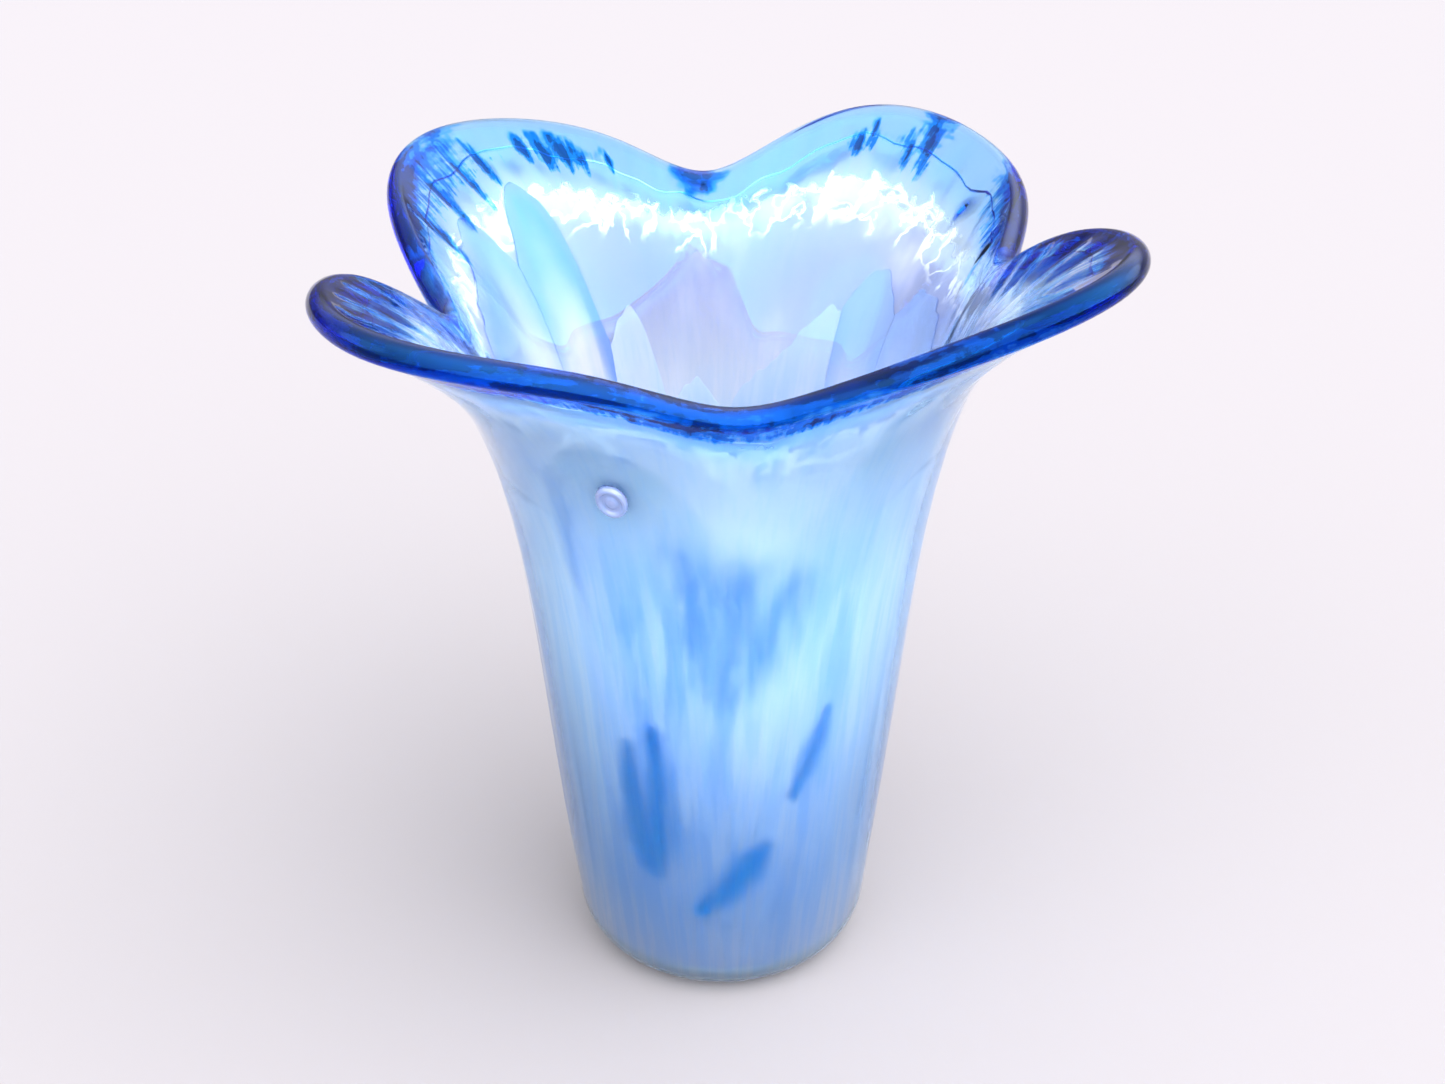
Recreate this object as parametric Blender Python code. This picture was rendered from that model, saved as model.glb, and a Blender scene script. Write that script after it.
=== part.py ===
"""Lobed flower-form vase of cased art glass: fused layers and colour shards, each a solid of its own.

Metres, +Z up. The origin is the centre of the flat foot, and +X points to the dip between the two
right-hand lobes. Bearings run from +X towards +Y. A depth is measured inwards from the outer surface.
"""

import math

import bmesh
import bpy
import numpy as np
from mathutils import Vector

MM = 0.001

# The rim's centre line, in mm: reach from the axis and height, at 16 bearings of 22.5 degrees.
# Each lobe gives its starting dip, its rising side, its tip and its falling side.
RIM_LOBES = (
    ((72, 205), (86, 206), (110, 211), (107, 215)),  # back right
    ((76, 204), (81, 215), (111, 216), (91, 204)),  # back left
    ((70, 192), (95, 218), (111, 223), (86, 212)),  # front left
    ((70, 199), (77, 207), (113, 234), (90, 227)),  # front right
)
LIP_SWELL = 1.06  # the fire-polished lip is a little thicker than the wall

# The body below the flare, at the middle of the wall
HEEL_HEIGHT = 14 * MM
HEEL_REACH = 11.5 * MM  # how far the foot is set in from the side
TOP_HEIGHT = 200 * MM
HEEL_RADIUS = 39.5 * MM
WAIST_RADIUS = 48.6 * MM
TOP_RADIUS = 56 * MM
FLARE_POWER = 6.3  # the wall leaves the body's curve in its top quarter

# Layers through the wall, as depths from the outer surface
WALL = 6.5 * MM
GAP = 0.48 * MM
CASING = 1.9 * MM
SHARD = 0.35 * MM
OPAL = 0.6 * MM
FLOOR_PER_WALL = 1.6  # the floor is thicker than the wall
DARK_OUTER = CASING + GAP
OPAL_OUTER = DARK_OUTER + SHARD + GAP
PETAL_OUTER = OPAL_OUTER + OPAL + GAP
GATHER_OUTER = PETAL_OUTER + SHARD + GAP
JOIN = 3.05 * MM  # the two clear gathers meet here above the opal

# Heights along the wall as a share of the way from heel to rim
LIP_START = 0.978
GATHER_TOP = 0.975
OPAL_TOP_AT_LOBES = 0.925
OPAL_TOP_AT_DIPS = 0.955
OPAL_WAVES = ((9, 0.004, 0), (17, 0.003, 1))  # count, size and turn of the waves in its ragged edge
JOIN_START = 0.012  # above the opal's edge
JOIN_END = 0.034

# Azure petals between the inner gather and the opal, in degrees and mm:
# right and left side, bearing of the tip, height of the shoulders and of the tip
PETALS = (
    (-4, 16, 10, 174, 186),
    (17, 40, 36, 172, 182),
    (41, 56, 51, 172, 184),
    (57, 84, 61, 148, 172),
    (88, 106, 97, 142, 152),
    (107, 122, 115, 154, 175),
    (123, 137, 129, 188, 200),
    (138, 160, 142, 174, 200),
    (226, 273, 241, 156, 190),
    (274, 306, 302, 156, 193),
)
PETAL_FOOT = 34 * MM
PETAL_FULLNESS = 1.7  # how round a petal is above its shoulders
PETAL_TIP = 0.12  # the narrowest its tip gets, as a share of its width

# Darker streaks between the opal and the casing, in degrees and mm:
# bearing and height of the foot and of the tip, and width
DARK_STREAKS = {
    "left": (244, 49, 241, 89, 14),
    "slanted": (262, 35, 287, 60, 9),
    "right": (294, 74, 301, 95, 5),
    "centre": (270, 103, 272, 150, 24),
}
STREAK_FULLNESS = 0.7  # how blunt a streak is
STREAK_END = 0.1  # the width of its ends, as a share of its middle

SEAL_BEARING = 245.5
SEAL_HEIGHT = 175 * MM
SEAL_WIDENING = 0.84  # the round seal is pressed into an upright oval
SEAL_LENGTHENING = 1.14
SEAL_PROFILE = ((0, 1.1), (1.3, 1.0), (2.1, 0.6), (2.8, 0.6), (3.4, 1.2), (4.1, 1.2), (4.6, 0.5))  # mm

AROUND = 48
BODY_ROWS = 3
FLARE_ROWS = 10
FLARE_START = 0.6  # share of the wall's height where the closer rows begin
HEEL_ROWS = 3
LIP_ROWS = 4
SHARD_STEP = 5.5  # degrees across a shard's facet
SHARD_ROWS = 12
SHARD_CROWDING = 1.9  # crowds a petal's rows towards its tip
SEAL_AROUND = 16
SMALL_STEP = 1e-3  # for slopes: radians, metres or a share of the height


def ring_curve(values):
    """A smooth closed curve through equally spaced values, as a periodic cubic B-spline."""
    count = len(values)
    blend = np.zeros((count, count))
    for i in range(count):
        blend[i, (i - 1) % count] = blend[i, (i + 1) % count] = 1 / 6
        blend[i, i] = 4 / 6
    control = np.linalg.solve(blend, values)

    def at(bearing):
        place = (bearing / math.tau * count) % count
        i = int(place)
        u = place - i
        weights = ((1 - u) ** 3, 3 * u**3 - 6 * u**2 + 4, -3 * u**3 + 3 * u**2 + 3 * u + 1, u**3)
        return sum(w * control[(i + k - 1) % count] for k, w in enumerate(weights)) / 6

    return at


RIM_POINTS = [point for lobe in RIM_LOBES for point in lobe]
rim_reach = ring_curve([reach * MM for reach, _ in RIM_POINTS])
rim_height = ring_curve([height * MM for _, height in RIM_POINTS])


def body_radius(z):
    """The turned body's radius: a parabola through the heel, waist and top radii."""
    u = (z - HEEL_HEIGHT) / (TOP_HEIGHT - HEEL_HEIGHT)
    bulge = WAIST_RADIUS - (HEEL_RADIUS + TOP_RADIUS) / 2
    return HEEL_RADIUS + (TOP_RADIUS - HEEL_RADIUS) * u + 4 * bulge * u * (1 - u)


def wall_middle(bearing, rise):
    """The middle of the wall, where rise runs from 0 at the heel to 1 at the rim."""
    top = rim_height(bearing)
    z = HEEL_HEIGHT + (top - HEEL_HEIGHT) * rise
    flare = (rim_reach(bearing) - body_radius(top)) * max(rise, 0) ** FLARE_POWER
    r = body_radius(z) + flare
    return Vector((r * math.cos(bearing), r * math.sin(bearing), z))


def wall_axes(bearing, rise):
    """The outward normal and the upward tangent of the wall."""
    across = wall_middle(bearing + SMALL_STEP, rise) - wall_middle(bearing - SMALL_STEP, rise)
    up = wall_middle(bearing, rise + SMALL_STEP) - wall_middle(bearing, rise - SMALL_STEP)
    return across.cross(up).normalized(), up.normalized()


def wall_point(bearing, rise, depth):
    normal, _ = wall_axes(bearing, rise)
    return wall_middle(bearing, rise) + normal * (WALL / 2 - depth)


def rise_at(bearing, height):
    return (height - HEEL_HEIGHT) / (rim_height(bearing) - HEEL_HEIGHT)


def smooth_step(low, high, x):
    u = min(max((x - low) / (high - low), 0), 1)
    return u * u * (3 - 2 * u)


def opal_top(bearing):
    """The opal's ragged upper edge, which stands higher at the dips than on the lobes."""
    at_dips = (1 + math.cos(4 * bearing)) / 2
    ragged = sum(size * math.sin(count * bearing + turn) for count, size, turn in OPAL_WAVES)
    return OPAL_TOP_AT_LOBES + (OPAL_TOP_AT_DIPS - OPAL_TOP_AT_LOBES) * at_dips + ragged


def level(rise):
    """An edge at the same rise all the way round."""
    return lambda bearing: rise


def bearings():
    return [math.tau * i / AROUND for i in range(AROUND)]


def foot_rings(depth):
    """The flat floor's edge and the rounded heel of a skin at this depth, from the bottom up."""
    floor = FLOOR_PER_WALL * depth
    side = body_radius(floor + HEEL_HEIGHT) + WALL / 2 - depth
    rings = [[Vector((0, 0, floor))]]
    for row in range(HEEL_ROWS):
        turn = math.pi / 2 * row / HEEL_ROWS
        r = side - HEEL_REACH * (1 - math.sin(turn))
        z = floor + HEEL_HEIGHT * (1 - math.cos(turn))
        rings.append([Vector((r * math.cos(b), r * math.sin(b), z)) for b in bearings()])
    return rings


def wall_rings(depth, top, depth_near_top=None):
    """The wall of a skin from the heel up to top(bearing), where its depth may change near the rim."""
    rings = []
    start = HEEL_HEIGHT + FLOOR_PER_WALL * depth
    shares = [FLARE_START * row / BODY_ROWS for row in range(BODY_ROWS)]
    shares += [FLARE_START + (1 - FLARE_START) * row / FLARE_ROWS for row in range(FLARE_ROWS + 1)]
    for share in shares:
        ring = []
        for b in bearings():
            low = rise_at(b, start)
            rise = low + (top(b) - low) * share
            here = depth
            if depth_near_top is not None:
                edge = opal_top(b)
                change = smooth_step(edge + JOIN_START, edge + JOIN_END, rise)
                here = depth + (depth_near_top - depth) * change
            ring.append(wall_point(b, rise, here))
        rings.append(ring)
    return rings


def lip_rings():
    """The round lip, from the outer surface over the rim to the inner surface."""
    rings = []
    for row in range(1, LIP_ROWS + 1):
        turn = math.pi * row / (LIP_ROWS + 1)
        ring = []
        for b in bearings():
            normal, up = wall_axes(b, 1)
            round_off = normal * math.cos(turn) + up * math.sin(turn)
            ring.append(wall_middle(b, 1) + round_off * (LIP_SWELL * WALL / 2))
        rings.append(ring)
    return rings


def glass(name, colour, roughness, transmission):
    material = bpy.data.materials.new(name)
    material.use_nodes = True
    shader = material.node_tree.nodes["Principled BSDF"]
    shader.inputs["Base Color"].default_value = (*colour, 1)
    shader.inputs["Roughness"].default_value = roughness
    shader.inputs["Metallic"].default_value = 0
    shader.inputs["Transmission Weight"].default_value = transmission
    material.diffuse_color = (*colour, 1)
    return material


def add_solid(name, points, faces, material):
    mesh = bpy.data.meshes.new(name)
    mesh.from_pydata([tuple(p) for p in points], [], faces)
    shape = bmesh.new()
    shape.from_mesh(mesh)
    bmesh.ops.recalc_face_normals(shape, faces=shape.faces)
    shape.to_mesh(mesh)
    shape.free()
    mesh.shade_smooth()
    mesh.materials.append(material)
    solid = bpy.data.objects.new(name, mesh)
    bpy.context.scene.collection.objects.link(solid)
    return solid


def add_shell(name, rings, material):
    """A closed solid through rings of points, whose first and last rings are single points."""
    points = []
    starts = []
    for ring in rings:
        starts.append(len(points))
        points.extend(ring)
    faces = []
    for i in range(AROUND):
        j = (i + 1) % AROUND
        faces.append((starts[0], starts[1] + j, starts[1] + i))
        faces.append((starts[-1], starts[-2] + i, starts[-2] + j))
        for below, above in zip(starts[1:-2], starts[2:-1]):
            faces.append((below + i, below + j, above + j, above + i))
    return add_solid(name, points, faces, material)


def add_casing():
    """The outer clear gather, with the foot and the whole lip."""
    outer = foot_rings(0) + wall_rings(0, level(1))
    ledge = [wall_point(b, LIP_START, WALL) for b in bearings()]
    inner = foot_rings(CASING) + wall_rings(CASING, level(LIP_START), JOIN)
    return add_shell("outer_casing", outer + lip_rings() + [ledge] + inner[::-1], azure_clear)


def add_inner_gather():
    """The first clear gather, which lines the inside and stops under the lip."""
    outer = foot_rings(GATHER_OUTER) + wall_rings(GATHER_OUTER, level(GATHER_TOP), JOIN + GAP)
    inner = foot_rings(WALL) + wall_rings(WALL, level(GATHER_TOP))
    return add_shell("inner_gather", outer + inner[::-1], azure_clear)


def add_opal():
    outer = foot_rings(OPAL_OUTER) + wall_rings(OPAL_OUTER, opal_top)
    inner = foot_rings(OPAL_OUTER + OPAL) + wall_rings(OPAL_OUTER + OPAL, opal_top)
    return add_shell("opal_overlay", outer + inner[::-1], opal_white)


def add_shard(name, outline, depth, material):
    """A thin curved plate. outline(s) gives its two side bearings and its height, from foot to tip."""
    sides = [outline(row / SHARD_ROWS) for row in range(SHARD_ROWS + 1)]
    widest = max(abs(left - right) for right, left, _ in sides)
    columns = max(2, math.ceil(math.degrees(widest) / SHARD_STEP))
    points = []
    for face_depth in (depth, depth + SHARD):
        for right, left, height in sides:
            for column in range(columns + 1):
                bearing = right + (left - right) * column / columns
                points.append(wall_point(bearing, rise_at(bearing, height), face_depth))
    width = columns + 1
    half = len(points) // 2
    faces = []
    for row in range(SHARD_ROWS):
        for column in range(columns):
            a = row * width + column
            square = (a, a + 1, a + 1 + width, a + width)
            faces.append(square)
            faces.append(tuple(half + corner for corner in reversed(square)))
    border = list(range(width))
    border += [row * width + columns for row in range(1, SHARD_ROWS + 1)]
    border += [SHARD_ROWS * width + column for column in range(columns - 1, -1, -1)]
    border += [row * width for row in range(SHARD_ROWS - 1, 0, -1)]
    for a, b in zip(border, border[1:] + border[:1]):
        faces.append((b, a, half + a, half + b))
    return add_solid(name, points, faces, material)


def add_petal(name, right, left, tip, shoulder, top):
    """A flame-shaped shard with upright sides up to its shoulders and a rounded tip."""
    right, left, tip = (math.radians(angle) for angle in (right, left, tip))
    shoulder, top = shoulder * MM, top * MM

    def outline(s):
        height = PETAL_FOOT + (top - PETAL_FOOT) * (1 - (1 - s) ** SHARD_CROWDING)
        past = max(0, (height - shoulder) / (top - shoulder))
        spread = max(math.sqrt(1 - past**PETAL_FULLNESS), PETAL_TIP)
        return tip + (right - tip) * spread, tip + (left - tip) * spread, height

    return add_shard(name, outline, PETAL_OUTER, azure_petal)


def add_dark_streak(name, foot_bearing, foot, tip_bearing, tip, width):
    """A spindle-shaped shard drawn out along the wall."""
    foot_bearing, tip_bearing = math.radians(foot_bearing), math.radians(tip_bearing)
    foot, tip, width = foot * MM, tip * MM, width * MM

    def outline(s):
        height = foot + (tip - foot) * s
        middle = foot_bearing + (tip_bearing - foot_bearing) * s
        swell = max(math.sin(math.pi * s) ** STREAK_FULLNESS, STREAK_END)
        half = width / 2 / body_radius(height) * swell
        return middle - half, middle + half, height

    return add_shard(name, outline, DARK_OUTER, azure_dark)


def add_seal():
    """A small plain prunt pressed onto the outside, with a raised edge and a domed middle."""
    centre = math.radians(SEAL_BEARING)

    def on_wall(turn, climb, proud=0):
        bearing, height = centre + turn, SEAL_HEIGHT + climb
        return wall_point(bearing, rise_at(bearing, height), -proud)

    length_per_turn = (on_wall(SMALL_STEP, 0) - on_wall(-SMALL_STEP, 0)).length / (2 * SMALL_STEP)
    length_per_climb = (on_wall(0, SMALL_STEP) - on_wall(0, -SMALL_STEP)).length / (2 * SMALL_STEP)
    turn_reach = SEAL_WIDENING / length_per_turn
    climb_reach = SEAL_LENGTHENING / length_per_climb

    def ring(radius, proud):
        angles = [math.tau * i / SEAL_AROUND for i in range(SEAL_AROUND)]
        steps = [(radius * math.cos(a), radius * math.sin(a)) for a in angles]
        return [on_wall(x * turn_reach, y * climb_reach, GAP + proud) for x, y in steps]

    profile = [(radius * MM, proud * MM) for radius, proud in SEAL_PROFILE]
    rings = [ring(radius, proud)[: 1 if radius == 0 else SEAL_AROUND] for radius, proud in profile]
    rings += [ring(profile[-1][0], 0), ring(0, 0)[:1]]
    points = []
    starts = []
    for circle in rings:
        starts.append(len(points))
        points.extend(circle)
    faces = []
    for i in range(SEAL_AROUND):
        j = (i + 1) % SEAL_AROUND
        faces.append((starts[0], starts[1] + i, starts[1] + j))
        faces.append((starts[-1], starts[-2] + j, starts[-2] + i))
        for inner, outer in zip(starts[1:-2], starts[2:-1]):
            faces.append((inner + i, outer + i, outer + j, inner + j))
    return add_solid("seal", points, faces, seal_glass)


for old in list(bpy.data.objects):
    bpy.data.objects.remove(old)

azure_clear = glass("azure_clear_glass", (0.42, 0.72, 0.97), 0.03, 1)
opal_white = glass("opal_white_glass", (0.86, 0.93, 0.98), 0.25, 0.2)
azure_petal = glass("azure_petal_glass", (0.3, 0.62, 0.95), 0.15, 0.3)
azure_dark = glass("azure_dark_glass", (0.03, 0.27, 0.75), 0.15, 0.3)
seal_glass = glass("pale_seal_glass", (0.85, 0.82, 0.88), 0.1, 0.5)

add_casing()
add_inner_gather()
add_opal()
for number, petal in enumerate(PETALS, 1):
    add_petal(f"azure_petal_{number}", *petal)
for place, streak in DARK_STREAKS.items():
    add_dark_streak(f"dark_streak_{place}", *streak)
add_seal()
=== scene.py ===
"""Looks of the lobed art glass vase: one smooth clear wall with the opal, petals and streaks inside it."""
import math

import bpy
import numpy as np
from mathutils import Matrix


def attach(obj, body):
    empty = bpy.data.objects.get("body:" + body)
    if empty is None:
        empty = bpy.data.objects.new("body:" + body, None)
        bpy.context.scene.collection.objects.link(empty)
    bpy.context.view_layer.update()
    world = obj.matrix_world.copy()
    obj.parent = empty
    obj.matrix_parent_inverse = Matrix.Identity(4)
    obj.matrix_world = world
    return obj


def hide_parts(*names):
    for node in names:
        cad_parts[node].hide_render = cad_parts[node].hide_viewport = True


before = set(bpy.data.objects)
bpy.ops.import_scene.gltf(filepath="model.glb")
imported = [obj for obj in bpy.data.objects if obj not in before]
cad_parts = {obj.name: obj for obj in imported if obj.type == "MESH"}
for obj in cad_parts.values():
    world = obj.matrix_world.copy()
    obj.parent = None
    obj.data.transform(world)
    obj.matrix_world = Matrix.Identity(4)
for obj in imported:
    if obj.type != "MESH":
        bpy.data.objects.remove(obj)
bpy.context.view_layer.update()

MM = 0.001

# ---------------------------------------------------------------- shape, as in the CAD source
RIM_LOBES = (  # reach and height in mm: dip, rising side, tip, falling side of each lobe
    ((72, 205), (86, 206), (110, 211), (107, 215)),  # back right
    ((76, 204), (81, 215), (111, 216), (91, 204)),  # back left
    ((70, 192), (95, 218), (111, 223), (86, 212)),  # front left
    ((70, 199), (77, 207), (113, 234), (90, 227)),  # front right
)
LIP_SWELL = 1.06
RIM_REACH = 100 * MM  # about the reach of the rim, for the scale of its patterns
HEEL_HEIGHT = 14 * MM
HEEL_REACH = 11.5 * MM
TOP_HEIGHT = 200 * MM
HEEL_RADIUS = 39.5 * MM
WAIST_RADIUS = 48.6 * MM
TOP_RADIUS = 56 * MM
FLARE_POWER = 6.3

WALL = 6.5 * MM
GAP = 0.48 * MM
CASING = 1.9 * MM
SHARD = 0.35 * MM
OPAL = 0.6 * MM
INNER_SKIN = 0.65 * MM  # clear glass left inside the layers that hold the colour
FLOOR_PER_WALL = 1.6  # how much thicker the floor of the vase is than its wall
HEEL_THINNING = 1.65 * MM  # how much nearer to the outside the colour lies at the foot
DARK_OUTER = CASING + GAP
OPAL_OUTER = DARK_OUTER + SHARD + GAP
PETAL_OUTER = OPAL_OUTER + OPAL + GAP
GATHER_OUTER = WALL - INNER_SKIN
JOIN = OPAL_OUTER + OPAL / 2  # the depth at which the pocket in the wall closes

OPAL_TOP_AT_LOBES = 0.925
OPAL_TOP_AT_DIPS = 0.955

PETAL_TOPS = (  # the torn upper edge of each petal, from right to left: bearing and height in mm
    ((-6, 165), (2, 180), (10, 187), (16, 176), (20, 173)),
    ((20, 173), (25, 180), (31, 183), (38, 182), (42, 173)),
    ((42, 173), (46, 180), (50, 184), (53, 182), (57, 172)),
    ((57, 172), (60, 173), (66, 166), (72, 158), (83, 149), (88, 140)),
    ((88, 140), (92, 147), (97, 153), (102, 149), (106, 143)),
    ((106, 143), (108, 152), (111, 166), (115, 176), (118, 172), (122, 164)),
    ((122, 164), (124, 174), (126, 196), (128, 205), (132, 205), (135, 196), (138, 185)),
    ((138, 185), (140, 197), (143, 201), (146, 199), (151, 189), (157, 183), (164, 176), (168, 160)),
    ((225, 160), (229, 178), (239, 190), (248, 190), (256, 182), (262, 172), (270, 159), (275, 152)),
    ((275, 152), (286, 160), (296, 173), (301, 190), (305, 193), (309, 178), (312, 160)),
)
PETAL_TONES = (0.4, 0.5, 0.5, 0.1, 0.0, 0.0, 1.0, 0.95, 1.0, 1.0)  # how deep the azure of each is
PETAL_FOOT = 34 * MM
PETAL_CLEARANCE = 0.02  # in degrees, to the neighbour

DARK_STROKES = {  # bearing, height and half-width in mm along each stroke of a streak
    "left": (
        ((243, 47, 6), (241, 62, 12), (238, 76, 8), (238, 90, 3)),
        ((243, 47, 6), (246, 62, 12), (248, 76, 8), (247, 97, 3)),
    ),
    "slanted": (((262, 34, 4), (270, 41, 8), (278, 49, 9), (284, 56, 5)),),
    "right": (((293, 74, 3), (297, 81, 5), (300, 91, 5), (303, 102, 2)),),
    "centre": (
        ((259, 156, 9), (264, 132, 12), (271, 108, 7)),
        ((288, 146, 9), (280, 124, 12), (271, 108, 7)),
        ((273, 146, 13), (272, 122, 12)),
    ),
}
DARK_STRENGTHS = {"left": 1.0, "slanted": 1.0, "right": 1.0, "centre": 0.4}

SEAL_BEARING = 245.5
SEAL_HEIGHT = 175 * MM
SEAL_WIDENING = 0.84
SEAL_LENGTHENING = 1.14
SEAL_PROFILE = ((0, 1.1), (1.3, 1.0), (2.1, 0.6), (2.8, 0.6), (3.4, 1.2), (4.1, 1.2), (4.6, 0.5))

RIM_DASHES = (  # bearing, rise, half-width and half-length in mm of the navy marks in the clear rim
    (113, 0.978, 0.9, 2.5),
    (118, 0.972, 1.2, 4.0),
    (120.5, 0.978, 1.8, 5.0),
    (123, 0.97, 1.6, 4.5),
    (126, 0.975, 1.2, 3.0),
    (133, 0.962, 0.9, 6.0),
    (137, 0.955, 1.0, 7.0),
    (144, 0.957, 1.1, 8.0),
    (152, 0.962, 1.4, 9.0),
    (94, 0.992, 1.8, 2.0),
    (65, 0.966, 1.7, 2.6),
    (63, 0.975, 0.8, 3.5),
    (54, 0.98, 2.4, 6.5),
    (56.5, 0.965, 1.2, 4.0),
    (20, 0.975, 1.3, 9.0),
    (200, 0.965, 1.2, 9.0),
    (206, 0.98, 1.4, 9.0),
    (212, 0.96, 1.2, 10.0),
    (219, 0.975, 1.4, 10.0),
    (226, 0.965, 1.2, 9.0),
    (318, 0.975, 1.3, 9.0),
    (326, 0.96, 1.3, 10.0),
    (333, 0.975, 1.5, 10.0),
    (340, 0.955, 1.2, 9.0),
    (347, 0.97, 1.4, 9.0),
)

WISP_PATCHES = (  # bearing, rise, half-width in degrees, half-length as a rise, strength
    (143, 0.967, 13, 0.022, 0.42),
    (27, 0.978, 9, 0.022, 0.5),
    (60, 0.972, 9, 0.012, 0.2),
    (118, 0.975, 8, 0.014, 0.25),
)
LIP_FOLDS = (  # bearing and half-width in degrees, and strength, of the dark folds in the back lobes' lip
    (153, 15, 1.0),
    (22, 14, 1.0),
    (95, 5, 0.7),
    (137, 4, 0.5),
    (54, 3, 0.5),
)
# painted shade: how dark the whole front of the lip is made, for the long way through the glass there
FRONT_LIP_SHADE = 0.8
# the share of the lip's painted shade that reaches down the outside, just under the lip
OUTSIDE_LIP_SHADE = 0.72
LIP_SHADE_SHARES = (0.6, 0.7)  # the share of the lip's painted shade at the lip's outside, and what it gains on the way to the inside
LEFT_LOBE_INK = 0.52
RIGHT_LOBE_INK = 0.3
DASH_INK = 1.1
DASH_SLANT = 0.25  # how far a dash leans sideways for each mm of its length
DASH_WIDENING = 1.25
DASH_GROOVE = 0.8 * MM

# ---------------------------------------------------------------- fineness of the visible meshes
WALL_AROUND = 440
POCKET_AROUND = 200
OPAL_AROUND = 540
WALL_ROWS = (14, 46)  # below and above the start of the flare
POCKET_ROWS = (12, 36)
OPAL_ROWS = (10, 44)
FLARE_START = 0.72
FLARE_CROWDING = 1.25  # how much closer together the rows lie near the top
FLOOR_SHARES = (0.03, 0.35, 0.7, 0.9)  # radii of the rings in the flat of the foot
HEEL_ROWS = 12
FOOT_ROWS = len(FLOOR_SHARES) + HEEL_ROWS
CROWDED_LOBES = ((134, 24, 1.8), (46, 26, 1.2))  # bearing, half-width in degrees and extra fineness
LIP_ROWS = 10
PETAL_COLUMNS = 48
PETAL_ROWS = 50
PETAL_CROWDING = 1.6  # the same for the rows of a petal
STREAK_CELL = 0.8 * MM
SEAL_AROUND = 48
SEAL_ROWS = 28
SMALL_STEP = 1e-3  # for directions on the wall
SLOPE_STEP = 0.01  # in radians, for the slope of a petal's edge
DRAWN_OUT = 0.14  # patterns are squeezed by this along the wall, so that they look drawn out
LEAN = 0.16  # and they lean by this, in radians, from the dips towards the lobes


def ring_curve(values):
    """A smooth closed curve through equally spaced values, as a periodic cubic B-spline."""
    count = len(values)
    blend = np.zeros((count, count))
    for i in range(count):
        blend[i, (i - 1) % count] = blend[i, (i + 1) % count] = 1 / 6
        blend[i, i] = 4 / 6
    control = np.linalg.solve(blend, values)

    def at(bearing):
        place = np.mod(bearing / math.tau * count, count)
        i = np.floor(place).astype(int)
        u = place - i
        weights = ((1 - u) ** 3, 3 * u**3 - 6 * u**2 + 4, -3 * u**3 + 3 * u**2 + 3 * u + 1, u**3)
        return sum(w * control[(i + k - 1) % count] for k, w in enumerate(weights)) / 6

    return at


RIM_POINTS = [point for lobe in RIM_LOBES for point in lobe]
rim_reach = ring_curve([reach * MM for reach, _ in RIM_POINTS])
rim_height = ring_curve([height * MM for _, height in RIM_POINTS])


def body_radius(z):
    u = (z - HEEL_HEIGHT) / (TOP_HEIGHT - HEEL_HEIGHT)
    bulge = WAIST_RADIUS - (HEEL_RADIUS + TOP_RADIUS) / 2
    return HEEL_RADIUS + (TOP_RADIUS - HEEL_RADIUS) * u + 4 * bulge * u * (1 - u)


def wall_middle(bearing, rise):
    """The middle of the wall; the rise goes from nought at the heel to one at the rim."""
    top = rim_height(bearing)
    z = HEEL_HEIGHT + (top - HEEL_HEIGHT) * rise
    flare = (rim_reach(bearing) - body_radius(top)) * np.maximum(rise, 0) ** FLARE_POWER
    r = body_radius(z) + flare
    return np.stack([r * np.cos(bearing), r * np.sin(bearing), z], -1)


def unit(v):
    return v / np.linalg.norm(v, axis=-1, keepdims=True)


def wall_axes(bearing, rise):
    """The directions straight out of the wall and up along it."""
    across = wall_middle(bearing + SMALL_STEP, rise) - wall_middle(bearing - SMALL_STEP, rise)
    up = wall_middle(bearing, rise + SMALL_STEP) - wall_middle(bearing, rise - SMALL_STEP)
    return unit(np.cross(across, up)), unit(up)


def wall_point(bearing, rise, depth):
    bearing, rise, depth = np.broadcast_arrays(bearing, rise, depth)
    normal, _ = wall_axes(bearing, rise)
    return wall_middle(bearing, rise) + normal * (WALL / 2 - depth)[..., None]


def rise_at(bearing, height):
    """The rise at which the wall's middle reaches a height."""
    return (height - HEEL_HEIGHT) / (rim_height(bearing) - HEEL_HEIGHT)


def heel_thinning(rise):
    """The colour lies nearer to the outside at the foot, and settles to its depth a little above it."""
    return HEEL_THINNING * (1 - smooth_step(0, 0.14, rise))


# ---------------------------------------------------------------- mesh helpers
def even_bearings(count):
    return np.arange(count) * math.tau / count


def crowded_bearings(count):
    """Bearings that crowd together in the two back lobes, where the rim carries fine ripples."""
    fine = np.linspace(0, math.tau, 3601)
    density = np.ones_like(fine)
    for bearing, width, extra in CROWDED_LOBES:
        density += extra * np.exp(-(((fine - math.radians(bearing)) / math.radians(width)) ** 2))
    total = np.concatenate([[0], np.cumsum((density[1:] + density[:-1]) / 2)])
    return np.interp(np.arange(count) / count * total[-1], total, fine)


def smooth_step(low, high, x):
    u = np.clip((x - low) / (high - low), 0, 1)
    return u * u * (3 - 2 * u)


def foot_rings(depth, b):
    """The floor's disc and the rounded heel of a skin at this depth, from the middle outwards."""
    floor = FLOOR_PER_WALL * depth
    flat = body_radius(floor + HEEL_HEIGHT) + WALL / 2 - depth - HEEL_REACH
    profile = [(flat * share, floor) for share in FLOOR_SHARES]
    for row in range(HEEL_ROWS):
        turn = math.pi / 2 * row / HEEL_ROWS
        profile.append((flat + HEEL_REACH * math.sin(turn), floor + HEEL_HEIGHT * (1 - math.cos(turn))))
    return [np.stack([r * np.cos(b), r * np.sin(b), np.full(len(b), z)], -1) for r, z in profile]


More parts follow.
